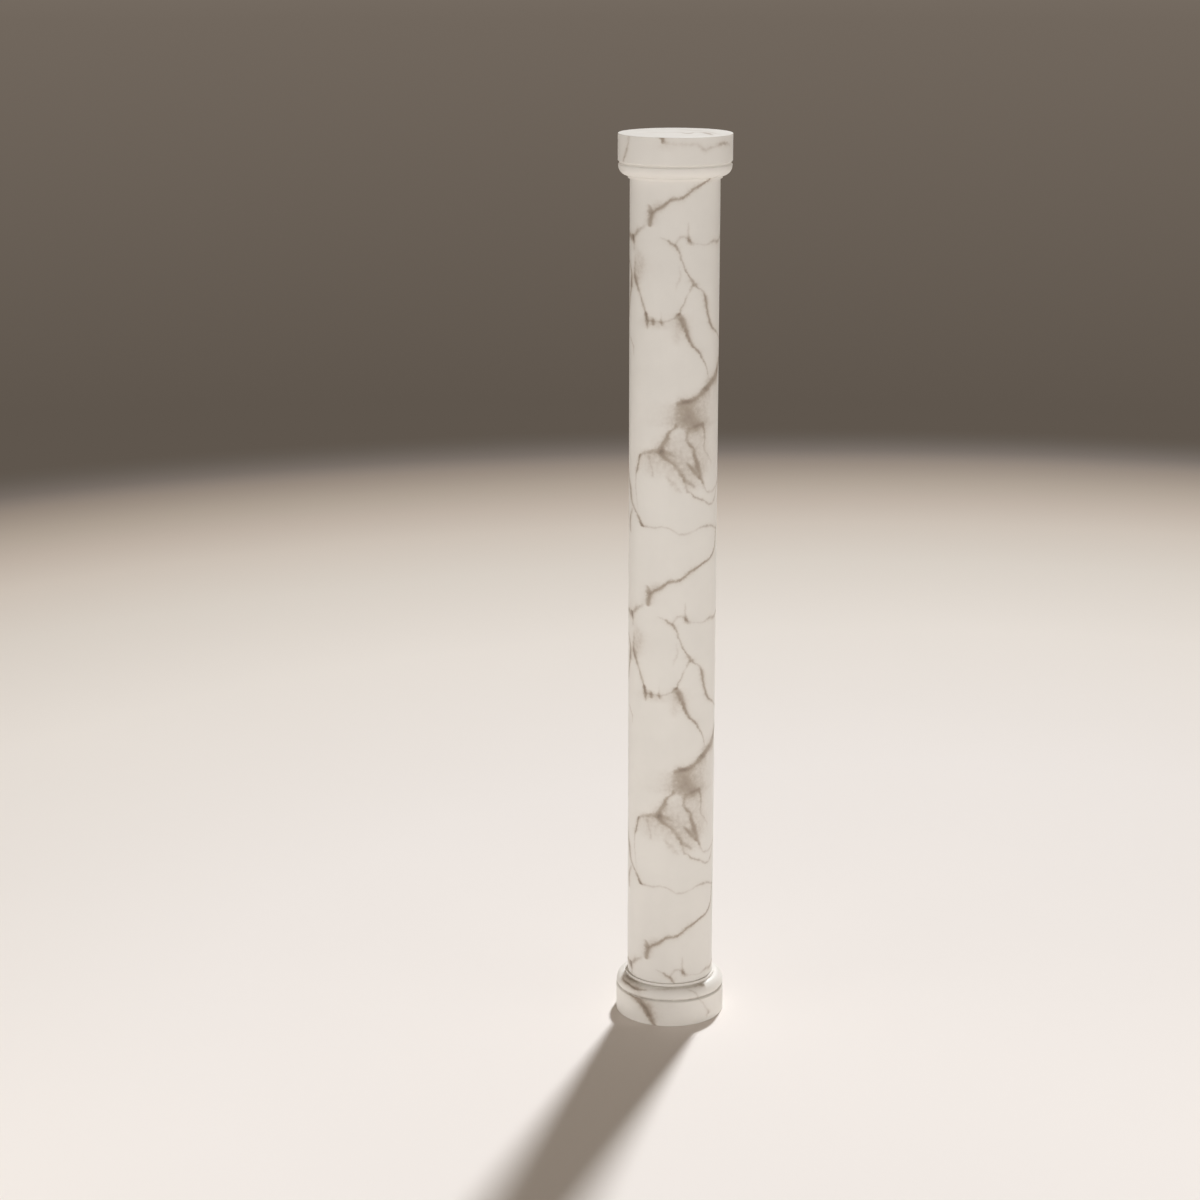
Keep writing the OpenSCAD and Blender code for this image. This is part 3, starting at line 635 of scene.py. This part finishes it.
# birch plywood: rotary-cut veneers with the grain crossed at each ply, so the sawn edge is striped
# pale and brown and the faces show long quiet figure
spigots = {
    "ply": 1.385,                # mm, thirteen plies in 18 mm
    "foot": 30,                  # height of the lower one's foot
    "edge": 111.9,               # mm from the axis, just inside the sawn edge
    "alongGrain": [(0.25, "#CDB187"), (0.55, "#D9C29B"), (0.8, "#E0CCA8")],
    "acrossGrain": [(0.25, "#A2815A"), (0.55, "#B3936A"), (0.8, "#C0A27A")],
}
plywood, add, shader = newMaterial("birchPlywood", {"Roughness": 0.62, "Specular IOR Level": 0.35})
inMm, axes, fromAxis = millimetres(add)
firstPly = spigots["foot"] % (2 * spigots["ply"]) / spigots["ply"]
plyHeight = add("Math MULTIPLY_ADD", [axes.outputs[2], 1 / spigots["ply"], -firstPly])
wobble = add("TexNoise", {"Vector": inMm, "Scale": 1 / 30, "Detail": 1.0})
plyHeight = add("Math MULTIPLY_ADD", [wobble, 0.16, plyHeight])
plyHeight = add("Math SUBTRACT", [plyHeight, 0.08])
upsAndDowns = add("Math PINGPONG", [plyHeight, 1.0])
crossed = add("Math MODULO", [plyHeight, 2.0])
crossed = add("Math GREATER_THAN", [crossed, 1.0])
figure = add("Mapping", {0: inMm, "Scale": (1 / 55, 1 / 3.4, 1 / 1.4)})
grain = add("TexNoise", {"Vector": figure, "Scale": 1.0, "Detail": 4.0, "Distortion": 0.6})
endFigure = add("Mapping", {0: inMm, "Scale": (1 / 1.6, 1 / 1.6, 1 / 0.8)})
endGrain = add("TexNoise", {"Vector": endFigure, "Scale": 1.0, "Detail": 3.0})
longTone = setRamp(add("ValToRGB", [grain]), spigots["alongGrain"])
endTone = setRamp(add("ValToRGB", [endGrain]), spigots["acrossGrain"])
plies = add("Mix", {0: crossed, 6: longTone, 7: endTone}, data_type="RGBA")
glue = add("MapRange", [upsAndDowns, 0.0, 0.12, 0.62, 1.0])
onEdge = add("Math GREATER_THAN", [fromAxis, spigots["edge"]])
glue = add("Mix", {0: onEdge, 2: 1.0, 3: glue})
# only the sawn edge shows the stripes: the flat faces are one long-grained veneer
shown = add("Mix", {0: onEdge, 6: longTone, 7: plies}, data_type="RGBA")
tone = add("VectorMath SCALE", {0: shown, "Scale": glue})
bump = add("Bump", {"Strength": 0.35, "Distance": 0.0003, "Height": grain})
setInputs(shader, {"Base Color": tone, "Normal": bump})
giveMaterial(plywood, "lower_spigot", "upper_spigot")

# torch-cut steel plate under a thin black primer: flat and slightly orange-peeled on the faces,
# ribbed down the cut edge, and rubbed to bare steel where stacked plates have knocked together
ballast = {
    "radius": 105.0, "thickness": 15.0, "foot": 48.0,
    "primer": [(0.3, "#26282B"), (0.6, "#303337"), (0.8, "#3A3D41")],
    "bareSteel": "#8E8F90",
    "cutRibs": 2.2,              # mm between the marks of the cut
}
primedPlate, add, shader = newMaterial("blackPrimedPlate", {"Roughness": 0.5})
inMm, axes, fromAxis = millimetres(add)
x, y, z = axes.outputs
angle = add("Math ARCTAN2", [y, x])
dust = add("TexNoise", {"Vector": inMm, "Scale": 1 / 9, "Detail": 5.0})
primer = setRamp(add("ValToRGB", [dust]), ballast["primer"])
plateHeight = add("Math SUBTRACT", [z, ballast["foot"]])
toFace = add("Math PINGPONG", [plateHeight, ballast["thickness"] / 2])
nearFace = add("MapRange", [toFace, 1.6, 0.4])
nearRim = add("MapRange", [fromAxis, ballast["radius"] - 2.2, ballast["radius"] - 0.6])
corner = add("Math MULTIPLY", [nearFace, nearRim])
knocks = add("TexNoise", {"Vector": inMm, "Scale": 1 / 4, "Detail": 4.0, "Roughness": 0.65})
corner = add("Math MULTIPLY", [corner, knocks])
worn = add("MapRange", [corner, 0.42, 0.52], **smooth)
tone = add("Mix", {0: worn, 6: primer, 7: toLinear(ballast["bareSteel"])}, data_type="RGBA")
ribRun = add("Math MULTIPLY", [angle, ballast["radius"] * math.tau / ballast["cutRibs"]])
ribs = add("Math SINE", [ribRun])
onRim = add("Math GREATER_THAN", [fromAxis, ballast["radius"] - 0.5])
ribs = add("Math MULTIPLY", [ribs, onRim])
peel = add("TexNoise", {"Vector": inMm, "Scale": 1 / 1.5, "Detail": 2.0})
relief = add("Math MULTIPLY_ADD", [ribs, 0.8, peel])
bump = add("Bump", {"Strength": 0.5, "Distance": 0.00025, "Height": relief})
setInputs(shader, {"Base Color": tone, "Metallic": worn, "Normal": bump})
giveMaterial(primedPlate, *("ballast_plate_%d" % n for n in range(1, 5)))


# tone and gloss drift in soft clouds over a fine relief
def cloudyMaterial(name, look, shine):
    material, add, shader = newMaterial(name, shine)
    inMm = millimetres(add)[0]
    clouds = add("TexNoise", {"Vector": inMm, "Scale": 1 / look["cloud"], "Detail": look["cloudDetail"]})
    tone = setRamp(add("ValToRGB", [clouds]), look["tones"])
    gloss = add("MapRange", [clouds, 0.3, 0.7, *look["gloss"]])
    fine = add("TexNoise", {"Vector": inMm, "Scale": 1 / look["grain"], "Detail": look["grainDetail"]})
    bump = add("Bump", {"Strength": look["relief"], "Distance": look["deep"], "Height": fine})
    setInputs(shader, {"Base Color": tone, "Roughness": gloss, "Normal": bump})
    return material


# bright zinc plate: barrel-plated steel, a cool grey metal with soft cloudy gloss and the tiny
# scuffs that parts give each other in the barrel
zinc = {"tones": [(0.3, "#B4B7BB"), (0.55, "#C2C5C8"), (0.8, "#CDCFD0")], "cloud": 5.0, "cloudDetail": 4.0,
        "gloss": (0.33, 0.45), "grain": 0.5, "grainDetail": 3.0, "relief": 0.4, "deep": 0.00003}
zincPlate = cloudyMaterial("brightZincPlate", zinc, {"Metallic": 1.0, "Roughness": 0.38})
giveMaterial(zincPlate, "ballast_washer", "base_washer")

# black nylon, moulded: a dull, slightly uneven sheen over the fine pits of a spark-eroded mould
footPads = {"tones": [(0.3, "#1D1E20"), (0.7, "#292A2D")], "cloud": 12.0, "cloudDetail": 2.0,
            "gloss": (0.48, 0.62), "grain": 0.45, "grainDetail": 2.0, "relief": 0.6, "deep": 0.00008}
mouldedNylon = cloudyMaterial("mouldedBlackNylon", footPads, {"Roughness": 0.55, "IOR": 1.53})
giveMaterial(mouldedNylon, "foot_pad_1", "foot_pad_2", "foot_pad_3")

# turned brass, unpolished: a warm yellow metal with fine rings from the cutting tool and a
# straight knurl round the barrel that the resin or timber grips
inserts = {"tones": [(0.3, "#B89C5E"), (0.55, "#CDB274"), (0.8, "#DAC288")], "toolRing": 0.5, "knurl": 1.3}
turnedBrass, add, shader = newMaterial("turnedBrass", {"Metallic": 1.0, "Roughness": 0.35})
inMm, axes, fromAxis = millimetres(add)
tarnish = add("TexNoise", {"Vector": inMm, "Scale": 1 / 6, "Detail": 4.0})
tone = setRamp(add("ValToRGB", [tarnish]), inserts["tones"])
rings = add("Math MULTIPLY_ADD", [fromAxis, 0.6, axes.outputs[2]])
rings = add("Math MULTIPLY", [rings, math.tau / inserts["toolRing"]])
rings = add("Math SINE", [rings])
slant = add("VectorMath DOT_PRODUCT", [inMm, (1.0, 1.0, 0.8)])
knurl = add("Math PINGPONG", [slant, inserts["knurl"] / 2])
relief = add("Math MULTIPLY_ADD", [rings, 0.12, knurl])
bump = add("Bump", {"Strength": 0.7, "Distance": 0.00012, "Height": relief})
setInputs(shader, {"Base Color": tone, "Normal": bump})
giveMaterial(turnedBrass, "capital_insert", "foot_inserts")
print("hardware materials done")


# Turned pieces are built as steps from the foot up, in mm:
#   ("ring", radius, height)
#   ("hexagon", across flats, height, side): side is 1 where its corners are taken off upwards, -1 downwards
#   ("thread", low, high, radius, depth, pitch, form): it runs out to its root at both ends
metricThread = [(0.0, 0.0), (0.125, 0.0), (0.4375, 1.0), (0.6875, 1.0)]    # share of the pitch, share of the depth
woodThread = [(0.0, 0.0), (0.07, 0.0), (0.32, 1.0), (0.76, 1.0)]
chamfer = 0.485     # radius of a hexagon's turned end against its width across flats


def turnedMesh(bm, steps, sides, bored=False):
    columns = [[] for n in range(sides)]
    nextRow = []    # where each row meets the first column again: a thread has climbed one turn by then
    for kind, *values in steps:
        start = len(columns[0])
        if kind == "thread":
            low, high, radius, depth, pitch, form = values
            rows = 4 * (math.ceil((high - low) / pitch) + 2)
            nextRow += [start + min(k + 4, rows - 1) for k in range(rows)]
            for n, column in enumerate(columns):
                for k in range(rows):
                    share, sink = form[k % 4]
                    height = min(max(low + pitch * (k // 4 - 1 + share + n / sides), low), high)
                    runOut = radius - depth + min(height - low, high - height)
                    column.append((min(radius - depth * sink, runOut), height))
            continue
        nextRow.append(start)
        for n, column in enumerate(columns):
            radius, height = values[:2]
            if kind == "hexagon":
                inner = radius / 2
                radius = inner / math.cos(math.tau * n / sides % (math.pi / 3) - math.pi / 6)
                height -= values[2] * max(0, radius - inner) * math.tan(math.radians(30))
            column.append((radius, height))
    rows = len(columns[0])
    points = [[bm.verts.new((r * math.cos(math.tau * n / sides), r * math.sin(math.tau * n / sides), h))
               for r, h in column] for n, column in enumerate(columns)]
    for n in range(sides):
        last = n == sides - 1
        for k in range(rows if bored else rows - 1):
            up = (k + 1) % rows
            beside = [nextRow[k], nextRow[up]] if last else [k, up]
            right = points[(n + 1) % sides]
            corners = [points[n][k], right[beside[0]], right[beside[1]], points[n][up]]
            if len(set(corners)) > 2:
                bm.faces.new(list(dict.fromkeys(corners)))
    if not bored:
        bm.faces.new([column[0] for column in points])
        bm.faces.new([column[-1] for column in points])
    bmesh.ops.remove_doubles(bm, verts=bm.verts[:], dist=1e-5)


def addZincPiece(bm, name, body, node):
    bmesh.ops.recalc_face_normals(bm, faces=bm.faces[:])
    for face in bm.faces:
        face.smooth = True
    for joint in bm.edges:
        if len(joint.link_faces) == 2 and joint.calc_face_angle() > math.radians(25):
            joint.smooth = False
    bmesh.ops.scale(bm, vec=(mm, mm, mm), verts=bm.verts[:])
    mesh = bpy.data.meshes.new(name)
    bm.to_mesh(mesh)
    bm.free()
    piece = bpy.data.objects.new(name, mesh)
    bpy.context.collection.objects.link(piece)
    mesh.materials.append(zincPlate)
    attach(piece, body)
    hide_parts(node)


# tie rod: M12 threaded at both ends, with a plain drawn shank between
tieRod = {"radius": 6.0, "depth": 1.07, "pitch": 1.75, "foot": 0.8, "lowerThread": 135.0,
          "upperThread": 2386.0, "top": 2426.5}
bm = bmesh.new()
radius, depth, pitch, foot, lowerThread, upperThread, top = tieRod.values()
turnedMesh(bm, [
    ("ring", radius - depth, foot),
    ("thread", foot, lowerThread, radius, depth, pitch, metricThread),
    ("ring", radius, lowerThread + depth),
    ("ring", radius, upperThread - depth),
    ("thread", upperThread, top, radius, depth, pitch, metricThread),
    ("ring", radius - depth, top)], 36)
addZincPiece(bm, "threadedTieRod", "root", "tie_rod")

# its two nuts: hexagons with the corners turned off both ways and a countersunk bore
rodNut = {"flats": 19.0, "high": 10.0, "bore": 6.06, "sink": 0.8}
nutFeet = {"base_nut": 1.5, "ballast_nut": 110.5}
for node, foot in nutFeet.items():
    bm = bmesh.new()
    flats, high, bore, sink = rodNut.values()
    top = foot + high
    turnedMesh(bm, [
        ("ring", bore + sink, foot), ("ring", flats * chamfer, foot), ("hexagon", flats, foot, -1),
        ("hexagon", flats, top, 1), ("ring", flats * chamfer, top), ("ring", bore + sink, top),
        ("ring", bore, top - sink), ("ring", bore, foot + sink)], 48, bored=True)
    addZincPiece(bm, node.replace("_", "-") + "-faced", "root", node)

# levelling studs: M8 thread above a spanner collar, and a round head that turns in the nylon pad
footStud = {"head": 6.0, "headFoot": 2.8, "headTop": 5.8, "radius": 4.0, "depth": 0.77, "pitch": 1.25,
            "flats": 13.0, "collarFoot": 8.8, "collarTop": 11.8, "top": 46.0}
studRing = {"radius": 95.0, "angles": (90, 210, 330)}
for n, angle in enumerate(studRing["angles"], 1):
    bm = bmesh.new()
    head, headFoot, headTop, radius, depth, pitch, flats, collarFoot, collarTop, top = footStud.values()
    turnedMesh(bm, [
        ("ring", head - 0.5, headFoot), ("ring", head, headFoot + 0.5),
        ("ring", head, headTop - 0.4), ("ring", head - 0.4, headTop),
        ("ring", radius + 0.3, headTop), ("ring", radius, headTop + 0.3), ("ring", radius, collarFoot),
        ("ring", flats * chamfer, collarFoot), ("hexagon", flats, collarFoot, -1),
        ("hexagon", flats, collarTop, 1), ("ring", flats * chamfer, collarTop),
        ("ring", radius - depth, collarTop),
        ("thread", collarTop + 0.3, top, radius, depth, pitch, metricThread),
        ("ring", radius - depth, top)], 36)
    turn = Matrix.Rotation(math.radians(angle), 4, "Z") @ Matrix.Translation((studRing["radius"], 0, 0))
    bmesh.ops.transform(bm, matrix=turn, verts=bm.verts[:])
    addZincPiece(bm, "threadedStud_%d" % n, "foot_stud_%d" % n, "foot_stud_%d" % n)

# wood screws through the tube into each spigot: countersunk, cross-recessed, 4 by 30
spigotScrew = {"radius": 2.0, "depth": 0.65, "pitch": 1.8, "head": 4.0, "headDeep": 2.4,
               "threadStart": 4.5, "threadEnd": 26.0, "length": 30.0}
screwPlaces = {"start": 117.1, "count": 6, "levels": {"lower_spigot_screws": 39.0, "upper_spigot_screws": 2401.0}}
recess = {"reach": 1.9, "half": 0.42, "deep": 1.7}
for node, level in screwPlaces["levels"].items():
    bm = bmesh.new()
    for n in range(screwPlaces["count"]):
        screw = bmesh.new()
        radius, depth, pitch, head, headDeep, threadStart, threadEnd, length = spigotScrew.values()
        root = radius - depth
        turnedMesh(screw, [
            ("ring", head - 0.15, 0.0), ("ring", head, 0.2), ("ring", root + 0.1, headDeep),
            ("ring", root, threadStart - 0.5),
            ("thread", threadStart, threadEnd, radius, depth, pitch, woodThread),
            ("ring", 0.2, length)], 18)
        # the cross recess: its outline is cut into the head's flat face and tapers to the bottom
        face = min(screw.faces, key=lambda f: f.calc_center_median().z)
        rim = list(face.edges)
        screw.faces.remove(face)
        reach, half, deep = recess.values()
        loops = []
        for a, w, h in ((reach, half, 0.0), (reach * 0.45, half * 0.6, deep)):
            arm = [(a, -w), (a, w), (w, w)]
            loops.append([screw.verts.new((px * c - py * s, px * s + py * c, h))
                          for c, s in ((1, 0), (0, 1), (-1, 0), (0, -1)) for px, py in arm])
        for i in range(12):
            j = (i + 1) % 12
            screw.faces.new((loops[0][i], loops[0][j], loops[1][j], loops[1][i]))
        screw.faces.new(loops[1])
        outline = [screw.edges.get((loops[0][i], loops[0][(i + 1) % 12])) for i in range(12)]
        bmesh.ops.triangle_fill(screw, use_beauty=True, edges=rim + outline)
        inwards = (Matrix.Rotation(math.tau * n / screwPlaces["count"], 4, "Z")
                   @ Matrix.Translation((screwPlaces["start"], 0, level)) @ Matrix.Rotation(-math.pi / 2, 4, "Y"))
        bmesh.ops.transform(screw, matrix=inwards, verts=screw.verts[:])
        single = bpy.data.meshes.new("oneScrew")
        screw.to_mesh(single)
        bm.from_mesh(single)
        screw.free()
        bpy.data.meshes.remove(single)
    addZincPiece(bm, node.replace("_", "-") + "-recessed", "root", node)
print("rod, nuts, studs and screws done")
